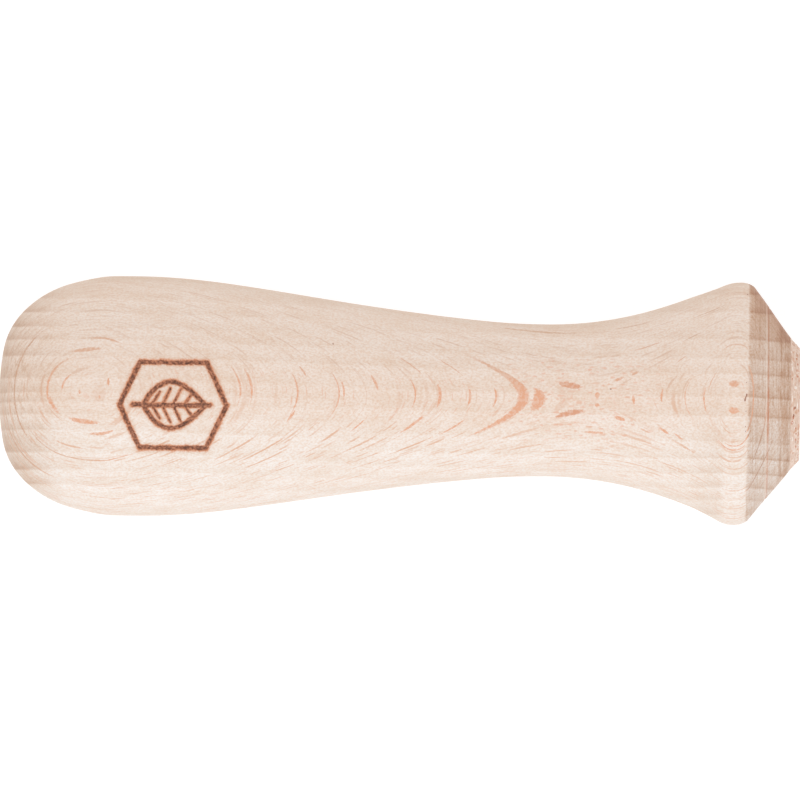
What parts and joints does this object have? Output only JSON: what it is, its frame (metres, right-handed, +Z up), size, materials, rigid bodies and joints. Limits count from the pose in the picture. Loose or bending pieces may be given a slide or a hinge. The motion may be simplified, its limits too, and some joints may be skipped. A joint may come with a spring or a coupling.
{
  "type": "file handle",
  "caption": "Turned wooden file handle with a palm swell, slim waist and flared nose, and a steel wire spiral in its tang socket.",
  "frame": {"origin": "centre of the flat front face, at the mouth of the tang socket", "axes": "+X along the handle's axis and out of the socket, towards the file; +Z up, through the side that carries the burned mark"},
  "size_m": [0.12, 0.0364, 0.0364],
  "materials": {
    "beech": "bare turned and sanded beech",
    "spring_steel": "drawn spring wire"
  },
  "bodies": {
    "root": {"handle_body": "beech", "tang_spiral": "spring_steel"}
  },
  "joints": []
}
